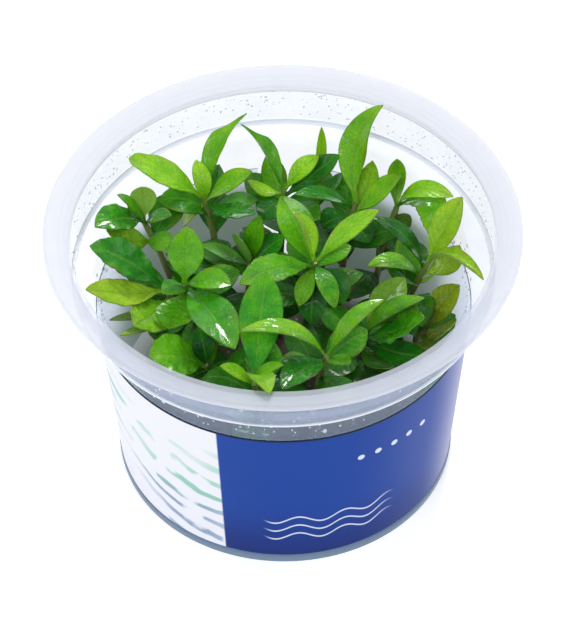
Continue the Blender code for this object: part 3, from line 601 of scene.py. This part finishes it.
def raise_rings(name, rings, steps=CUP_STEPS):
    """Start from a disc and draw its edge out, ring by ring, as a turner would, then close the end."""
    deselect_all()
    radius, z = rings[0]
    bpy.ops.mesh.primitive_circle_add(vertices=steps, radius=radius * MM, fill_type="NGON",
                                      location=(0, 0, z * MM))
    piece = added(name)
    settle(piece)
    edit(piece)
    pick(piece, lambda edge: edge.is_boundary, "edges")
    for (radius, z), (next_radius, next_z) in zip(rings, rings[1:]):
        bpy.ops.mesh.extrude_edges_move(TRANSFORM_OT_translate={"value": (0, 0, (next_z - z) * MM)})
        size = next_radius / radius
        bpy.ops.transform.resize(value=(size, size, 1), center_override=(0, 0, next_z * MM))
    bpy.ops.mesh.edge_face_add()
    bpy.ops.mesh.select_all(action="SELECT")
    bpy.ops.mesh.normals_make_consistent(inside=False)
    leave_edit()
    return piece


def round_corner(before, corner, after, reach, parts=3):
    """Points that round a corner of a section."""
    before, corner, after = Vector(before), Vector(corner), Vector(after)
    start = corner + (before - corner).normalized() * reach
    end = corner + (after - corner).normalized() * reach
    return [tuple((1 - t) ** 2 * start + 2 * t * (1 - t) * corner + t * t * end)
            for t in (i / parts for i in range(parts + 1))]


def rounded(points, reaches):
    """A section with its inner corners rounded, each by its own reach."""
    line = [points[0]]
    for i in range(1, len(points) - 1):
        if reaches[i]:
            line += round_corner(points[i - 1], points[i], points[i + 1], reaches[i])
        else:
            line.append(points[i])
    return line + [points[-1]]


def add_cup(wall, flange):
    section = [(30, FLOOR_Z, 0), (body_radius(FLOOR_Z) - WALL, FLOOR_Z, 0.9),
               (body_radius(LEDGE_Z) - WALL, LEDGE_Z, 0.35), (BAND_RADIUS - WALL - 0.2, LEDGE_Z + 0.75, 0.6),
               (FLANGE_INNER, HEIGHT - FLANGE_DROP, 0.45), (RIM_RADIUS - 1.9, HEIGHT - 0.25, 0.6),
               (RIM_RADIUS - 0.5, HEIGHT, 0.35), (RIM_RADIUS, HEIGHT - 0.25, 0.2),
               (RIM_RADIUS, HEIGHT - LIP, 0.12), (RIM_RADIUS - 0.5, HEIGHT - LIP - 0.05, 0.1),
               (BAND_RADIUS + 0.3, HEIGHT - FLANGE_DROP - 0.8, 0.25), (BAND_RADIUS, HEIGHT - FLANGE_DROP - 1.6, 0.3),
               (BAND_RADIUS, LEDGE_Z - 0.3, 0.3), (BODY_TOP_RADIUS, LEDGE_Z - 0.9, 0.3),
               (body_radius(SLEEVE_BOTTOM), SLEEVE_BOTTOM, 0.2), (FOOT_RADIUS, 1.6, 0.2),
               (FOOT_RADIUS, 0.0, 0.25), (FOOT_RING, 0.0, 0.3), (FOOT_RING - 0.6, 0.7, 0.2), (30, 0.7, 0)]
    rings = rounded([(r, z) for r, z, _ in section], [reach for _, _, reach in section])
    cup = raise_rings("cup_wall", rings)
    cup.data.materials.append(wall)
    cup.data.materials.append(flange)
    for face in cup.data.polygons:
        if face.center.xy.length > 44.75 * MM and face.center.z > 62.4 * MM:
            face.material_index = 1
    smooth(cup, 50)
    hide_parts("cup")
    return cup


def add_gel(material):
    low = FLOOR_Z + GAP
    gap = WALL + 0.1
    section = [(30, low, 0), (body_radius(low) - gap - 0.4, low, 0), (body_radius(low + 1) - gap, low + 1, 0),
               (body_radius(GEL_TOP + GEL_RIM) - gap, GEL_TOP + GEL_RIM, 0), (36.0, GEL_TOP + 0.25, 0.5),
               (33.0, GEL_TOP, 0), (26, GEL_TOP, 0), (18, GEL_TOP, 0), (9, GEL_TOP, 0)]
    gel = raise_rings("gel_bed", [(r, z) for r, z, _ in section], 96)
    gel.data.materials.append(material)
    smooth(gel)
    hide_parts("gel")
    return gel


def add_sleeve(outside, inside):
    """A band cut from a cylinder, tapered with the cup and left open in a slit at the back."""
    deselect_all()
    radius = body_radius((SLEEVE_TOP + SLEEVE_BOTTOM) / 2) + GAP
    bpy.ops.mesh.primitive_cylinder_add(vertices=140, radius=radius * MM, end_fill_type="NOTHING",
                                        depth=(SLEEVE_TOP - SLEEVE_BOTTOM) * MM,
                                        location=(0, 0, (SLEEVE_TOP + SLEEVE_BOTTOM) / 2 * MM))
    sleeve = added("sleeve")
    settle(sleeve)
    edit(sleeve)
    for z in (SLEEVE_TOP, SLEEVE_BOTTOM):
        pick(sleeve, lambda corner: abs(corner.co.z - z * MM) < 0.001)
        size = (body_radius(z) + GAP) / radius
        bpy.ops.transform.resize(value=(size, size, 1), center_override=(0, 0, z * MM))
    slit = math.radians((360 - SLEEVE_TURN) / 2)
    pick(sleeve, lambda face: abs(math.atan2(face.calc_center_median().x, face.calc_center_median().y)) < slit,
         "faces")
    bpy.ops.mesh.delete(type="FACE")
    leave_edit()
    sleeve.data.materials.append(outside)
    sleeve.data.materials.append(inside)
    paper = sleeve.modifiers.new("paper", "SOLIDIFY")
    paper.thickness = 0.2 * MM
    paper.offset = 1.0
    paper.material_offset = 1
    take(sleeve)
    bpy.ops.object.modifier_apply(modifier="paper")
    smooth(sleeve)
    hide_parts("label")
    return sleeve


def add_beads(material):
    """Condensation on the cup's inner wall: fine above the ledge at the back, larger low on the left."""
    chance = random.Random(11)
    deselect_all()
    bpy.ops.mesh.primitive_ico_sphere_add(subdivisions=2, radius=MM)
    first = added("bead")
    edit(first)
    pick(first, lambda corner: corner.co.x > 0.1 * MM)
    bpy.ops.transform.resize(value=(0.15, 1, 1), center_override=(0.1 * MM, 0, 0))
    leave_edit()
    beads = []
    for count, low, high, start, end, size, tall in (
            (190, 56.5, 63.8, 20, 160, 0.20, 0.6), (60, 56.0, 63.5, 160, 235, 0.20, 0.8),
            (45, 56.0, 63.0, -60, 20, 0.18, 0.8), (60, 43.0, 54.0, 150, 215, 0.32, 1.4),
            (40, 44.0, 54.0, -30, 30, 0.26, 1.4), (130, 44.6, 53.2, 205, 300, 0.17, 1.0),
            (12, 45.0, 52.5, 200, 300, 0.36, 1.0)):
        for _ in range(count):
            z = chance.uniform(low, high)
            angle = math.radians(chance.uniform(start, end))
            radius = body_radius(z) - WALL if z < LEDGE_Z else \
                BAND_RADIUS - WALL - 0.2 + (z - LEDGE_Z - 0.75) / 10.0 * 0.25
            bead = copy_of(first, "bead")
            scale = size * chance.uniform(0.6, 1.5)
            bead.scale = (scale, scale * chance.uniform(0.8, 1.2), scale * tall * chance.uniform(0.7, 1.3))
            bead.location = Vector((math.cos(angle), math.sin(angle), 0)) * (radius * MM) + Vector((0, 0, z * MM))
            bead.rotation_euler = (0, 0, angle)
            beads.append(bead)
    bpy.data.objects.remove(first, do_unlink=True)
    bpy.context.view_layer.update()
    cluster = join_all(beads, "condensation")
    settle(cluster)
    cluster.data.materials.append(material)
    smooth(cluster, 60)
    return cluster


# Leaves and stems

def stem_point(shoot, place):
    foot = Vector((*shoot["foot"], GEL_TOP + GAP))
    crown = Vector(shoot["crown"])
    knee = Vector((foot.x, foot.y, foot.z + 0.55 * (crown.z - foot.z)))
    return (1 - place) ** 2 * foot + 2 * place * (1 - place) * knee + place ** 2 * crown


def stem_radius(place):
    return STEM_RADIUS * (1 + (STEM_TAPER - 1) * place)


def half_width(width, t):
    if t <= BLADE_START:
        return PETIOLE
    share = (t - BLADE_START) / (1 - BLADE_START)
    blade = width / 2 * max(math.sin(math.pi * share ** 1.15), 0.0) ** 0.75
    return max(blade, PETIOLE * (1 - 0.6 * t))


def leaf_frame(leaf, foot, slide, bow):
    _, tip, _, arch, sway, _ = leaf[:6]
    tip = Vector(tip) + slide * SLANT
    chord = tip - foot
    heading = Vector((chord.x, chord.y, 0.0)).normalized()
    side = Vector((heading.y, -heading.x, 0.0))
    lift = side.cross(chord.normalized())
    middle = (foot + tip) / 2 + 2 * ((arch + bow) * lift + sway * side)
    return foot, middle, tip, side


def leaf_point(leaf, frame_, fold, t, s):
    foot, middle, tip, side = frame_
    width, roll = leaf[2], leaf[5]
    spine = (1 - t) ** 2 * foot + 2 * t * (1 - t) * middle + t ** 2 * tip
    tangent = ((1 - t) * (middle - foot) + t * (tip - middle)).normalized()
    across = (side - side.dot(tangent) * tangent).normalized()
    face = across.cross(tangent)
    angle = math.radians(roll)
    across, face = across * math.cos(angle) + face * math.sin(angle), \
        face * math.cos(angle) - across * math.sin(angle)
    reach = half_width(width, t)
    return spine + s * reach * math.cos(fold) * across + abs(s) * reach * math.sin(fold) * face


def leaf_foot(shoot, leaf, start):
    axis = stem_point(shoot, leaf[0])
    heading = Vector(leaf[1]) - axis
    return axis + Vector((heading.x, heading.y, 0.0)).normalized() * start


def node_space(name):
    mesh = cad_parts[name].data
    return BVHTree.FromPolygons([corner.co / MM for corner in mesh.vertices],
                                [tuple(face.vertices) for face in mesh.polygons])


def find_leaf(shoot, leaf, start, fold, rows, space):
    """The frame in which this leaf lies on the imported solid, or None if the solid has no such leaf."""
    foot = leaf_foot(shoot, leaf, start)
    best, found = 0.35, None
    for slide in SLIDES:
        for bow in BOWS:
            place = leaf_frame(leaf, foot, slide, bow)
            worst = 0.0
            for t, s in [(1.0, 0)] + [(t, s) for t in rows for s in (1, -1)]:
                worst = max(worst, space.find_nearest(leaf_point(leaf, place, fold, t, s))[3])
                if worst >= best:
                    break
            else:
                best, found = worst, place
    return found


def grow_blade(name, rows, columns, fold, ripple=0.0, tooth=0.0, cut=1.0, roll_in=0.0, waist=1.0):
    """A blade one unit long and two wide, from a flat grid: folded, rippled, then narrowed row by row."""
    deselect_all()
    bpy.ops.mesh.primitive_grid_add(x_subdivisions=rows, y_subdivisions=columns, size=2.0)
    blade = added(name)
    edit(blade)
    lines = sorted({round(corner.co.y, 4) for corner in bmesh.from_edit_mesh(blade.data).verts})
    for line in lines:
        pick(blade, lambda corner: abs(corner.co.y - line) < 0.001)
        lift = fold * abs(line) ** 1.15 + roll_in * abs(line) ** 3
        bpy.ops.transform.translate(value=(0, 0, lift))
        if roll_in:
            bpy.ops.transform.translate(value=(0, -0.45 * roll_in * line * abs(line) ** 2, 0))
    stations = sorted({round(corner.co.x, 4) for corner in bmesh.from_edit_mesh(blade.data).verts})
    for i, station in enumerate(stations):
        t = i / (len(stations) - 1)
        if ripple:
            pick(blade, lambda corner: abs(corner.co.x - station) < 0.001 and abs(corner.co.y) > 0.6)
            bpy.ops.transform.translate(value=(0, 0, ripple * math.sin(i * 1.35)))
        pick(blade, lambda corner: abs(corner.co.x - station) < 0.001)
        size = half_width(5.5, min(t, cut)) / 2.75
        if t > cut:
            size *= math.sqrt(max(1 - ((t - cut) / (1 - cut)) ** 2, 0.01))
        if t > waist:
            size *= 1 - 0.75 * math.sin(math.pi / 2 * min((t - waist) / (1 - waist) * 1.4, 1.0)) * (1 - t * 0.2)
        if t > 0.97 and cut == 1.0:
            size = 0.03
        if tooth and 0.12 < t < 0.95:
            size *= 1 + tooth * (-1) ** i
        bpy.ops.transform.resize(value=(1, size, size), center_override=(station, 0, 0))
    leave_edit()
    blade.data.uv_layers[0].name = "UVMap"
    return blade


def lay_blade(blade, name, shoot, leaf, place, start, turn=0.0):
    """A copy of the blade drawn along a guide from the stem to the leaf's tip, turned a little about it."""
    foot, middle, tip, side = place
    width, roll, light, yellow, wet = leaf[2] * BREADTHS[leaf[6]], leaf[5], leaf[7], leaf[8], leaf[9]
    if start:
        axis = stem_point(shoot, leaf[0])
        foot = axis + (foot - axis) * 0.35
    deselect_all()
    bpy.ops.curve.primitive_bezier_curve_add()
    guide = added("guide")
    guide.data.dimensions = "3D"
    heading = Vector((-side.y, side.x, 0.0))
    leaning = [(middle - foot).dot(heading) > 0, (tip - middle).dot(heading) > 0]
    guide.data.twist_mode = "Z_UP" if leaning[0] == leaning[1] else "MINIMUM"
    guide.data.resolution_u = 24
    guide.data.use_stretch = True
    guide.data.use_deform_bounds = True
    first, last = guide.data.splines[0].bezier_points
    twist = math.radians(TWIST) * math.sin(1.7 * tip.x + 2.3 * tip.y)
    for point, corner, more in ((first, foot, 0.0), (last, tip, twist)):
        point.handle_left_type = point.handle_right_type = "FREE"
        point.co = corner * MM
        point.tilt = math.radians(turn - roll) + (0.0 if leaning[0] else math.pi) + more
    first.handle_right = (foot + (middle - foot) * 2 / 3) * MM
    first.handle_left = (foot - (middle - foot) * 2 / 3) * MM
    last.handle_left = (tip + (middle - tip) * 2 / 3) * MM
    last.handle_right = (tip - (middle - tip) * 2 / 3) * MM
    leaf_piece = copy_of(blade, name)
    leaf_piece.scale = ((tip - foot).length / 2 * MM, width / 2 * MM, width / 2 * MM)
    settle(leaf_piece)
    bend = leaf_piece.modifiers.new("bend", "CURVE")
    bend.object = guide
    bend.deform_axis = "POS_X"
    body = leaf_piece.modifiers.new("body", "SOLIDIFY")
    body.thickness = 0.24 * MM
    body.offset = 0.0
    body.material_offset = 1
    body.material_offset_rim = 0
    bpy.ops.object.modifier_apply(modifier="bend")
    bpy.ops.object.modifier_apply(modifier="body")
    bpy.data.objects.remove(guide, do_unlink=True)
    paint = leaf_piece.data.color_attributes.new("look", "FLOAT_COLOR", "POINT")
    paint.data.foreach_set("color", (light, yellow, wet, 1.0) * len(leaf_piece.data.vertices))
    return leaf_piece


def grow_stem(key, shoot, material):
    """The stem: a tapered tube that swells at each pair of leaves and goes a little way into the gel."""
    spans = 16
    joints = sorted({leaf[0] for kind in ("leaves", "small", "pairs") for leaf in shoot[kind]})
    deselect_all()
    bpy.ops.curve.primitive_nurbs_path_add()
    stem = added("shoot_" + key)
    line = stem.data
    line.splines.clear()
    spline = line.splines.new("POLY")
    spline.points.add(spans + 1)
    for i, point in enumerate(spline.points):
        place = max(i - 1, 0) / spans
        where = stem_point(shoot, place)
        if i == 0:
            where = where - Vector((0, 0, 3.0))
        near = min(abs(place - joint) for joint in joints)
        point.co = (*(where * MM), 1.0)
        point.radius = stem_radius(place) * (1 + 0.22 * math.exp(-(near / 0.02) ** 2))
    spline.points[-1].radius *= 0.75
    line.bevel_depth = MM
    line.bevel_resolution = 2
    line.use_fill_caps = True
    take(stem)
    bpy.ops.object.convert(target="MESH")
    stem = bpy.context.object
    settle(stem)
    stem.data.materials.clear()
    stem.data.materials.append(material)
    return stem


def add_pairs():
    for order, shoot in enumerate(SHOOTS.values()):
        shoot["pairs"] = []
        for level, place in enumerate(PAIR_PLACES):
            for half in (0, 180):
                heading = math.radians(order * PAIR_TURN + level * 90 + half)
                rise = math.radians(PAIR_RISES[level])
                reach = Vector((math.cos(heading) * math.cos(rise), math.sin(heading) * math.cos(rise),
                                math.sin(rise))) * PAIR_LENGTHS[level]
                tip = stem_point(shoot, place) + reach
                shoot["pairs"].append((place, tuple(tip), PAIR_WIDTH, PAIR_ARCH, 0, 0, "low",
                                       PAIR_LIGHTS[level], 0.1, 0.3))


def add_plants(top, under, bark):
    add_pairs()
    blades = {"broad": grow_blade("broad", 22, 8, 0.24), "wavy": grow_blade("wavy", 22, 8, 0.22, 0.07, 0.035),
              "rolled": grow_blade("rolled", 22, 8, 0.30, roll_in=0.45),
              "hooked": grow_blade("hooked", 22, 8, 0.26, 0.02, waist=0.62, roll_in=0.2),
              "cut": grow_blade("cut", 22, 8, 0.22, 0.03, cut=0.93),
              "blunt": grow_blade("blunt", 22, 8, 0.22, 0.03, cut=0.84),
              "round": grow_blade("round", 22, 8, 0.16, 0.06, 0.01),
              "slim": grow_blade("slim", 14, 4, 0.10), "low": grow_blade("low", 10, 4, 0.05)}
    for blade in blades.values():
        blade.data.materials.append(top)
        blade.data.materials.append(under)
    for key, shoot in SHOOTS.items():
        stem = grow_stem(key, shoot, bark)
        space = node_space("stem_" + key)
        fused = [stem]
        for kind, rows in (("small", SMALL_ROWS), ("pairs", PAIR_ROWS)):
            for leaf in shoot[kind]:
                place = find_leaf(shoot, leaf, 0.0, 0.0, rows, space)
                if place:
                    fused.append(lay_blade(blades[leaf[6]], "twig", shoot, leaf, place, 0.0))
        whole = join_all(fused, "shoot_" + key)
        smooth(whole, 60)
        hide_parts("stem_" + key)
        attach(whole, "root")
        for index, leaf in enumerate(shoot["leaves"]):
            node = f"leaf_{key}{index + 1}"
            place = find_leaf(shoot, leaf, LEAF_FOOT, LEAF_FOLD, LEAF_ROWS, node_space(node))
            if not place:
                raise RuntimeError(node + " isn't where the lists put it")
            turn = TURNS.get(f"{key}{index + 1}", 0)
            piece = lay_blade(blades[leaf[6]], f"blade_{key}{index + 1}", shoot, leaf, place, LEAF_FOOT, turn)
            smooth(piece, 60)
            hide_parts(node)
            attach(piece, "root")
    for blade in blades.values():
        bpy.data.objects.remove(blade, do_unlink=True)


# Camera, floor and light

def add_camera():
    """Looks down into the cup at 45.6 degrees from 600 mm."""
    middle = Vector((0.0, 0.0, HEIGHT * MM))
    elevation = math.radians(45.566)
    seat = middle + Vector((0.0, -math.cos(elevation), math.sin(elevation))) * 0.600
    forward = (middle - seat).normalized()
    right = Vector((1.0, 0.0, 0.0))
    up = right.cross(forward)
    pan = Matrix.Rotation(math.radians(-0.023), 3, up)
    forward, right = pan @ forward, pan @ right
    tilt = Matrix.Rotation(math.radians(-1.79), 3, right)
    forward, up = tilt @ forward, tilt @ up
    roll = Matrix.Rotation(math.radians(0.796), 3, forward)
    right, up = roll @ right, roll @ up
    bpy.ops.object.camera_add(location=seat)
    camera = bpy.context.object
    camera.rotation_euler = Matrix((right, up, -forward)).transposed().to_euler()
    camera.data.lens = 162.87
    camera.data.sensor_width = 36.0
    camera.data.clip_start = 0.01
    bpy.context.scene.camera = camera


def add_light(name, seat, aim, size, watts, color=(1.0, 1.0, 1.0)):
    bpy.ops.object.light_add(type="AREA", location=seat)
    lamp = bpy.context.object
    lamp.name = name
    lamp.data.size = size
    lamp.data.energy = watts
    lamp.data.color = color
    lamp.rotation_euler = (Vector(aim) - Vector(seat)).to_track_quat("-Z", "Y").to_euler()


def add_stage():
    deselect_all()
    bpy.ops.mesh.primitive_plane_add(size=6.0, location=(0, 0, 0))
    floor = added("floor")
    floor.data.materials.append(pale_floor())
    world = bpy.data.worlds.new("studio")
    world.use_nodes = True
    world.node_tree.nodes["Background"].inputs["Color"].default_value = (0.96, 0.98, 1.0, 1.0)
    world.node_tree.nodes["Background"].inputs["Strength"].default_value = 0.48
    bpy.context.scene.world = world
    bpy.context.scene.view_settings.view_transform = "Standard"
    add_light("key", (-0.30, -0.55, 0.85), (0, 0, 0.05), 0.50, 3.9)
    add_light("fill", (0.60, -0.20, 0.60), (0, 0, 0.05), 0.5, 0.8)
    add_light("back", (0.10, 0.60, 0.56), (0, 0, 0.05), 0.20, 2.8)


add_camera()
add_stage()
root_pieces = [add_cup(clear_wall(), milky_flange()), add_gel(culture_gel()),
               add_sleeve(sleeve_print(), sleeve_back()), add_beads(water_bead())]
for piece in root_pieces:
    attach(piece, "root")
add_plants(leaf_green("leaf face"), leaf_green("leaf underside", True), stem_bark())
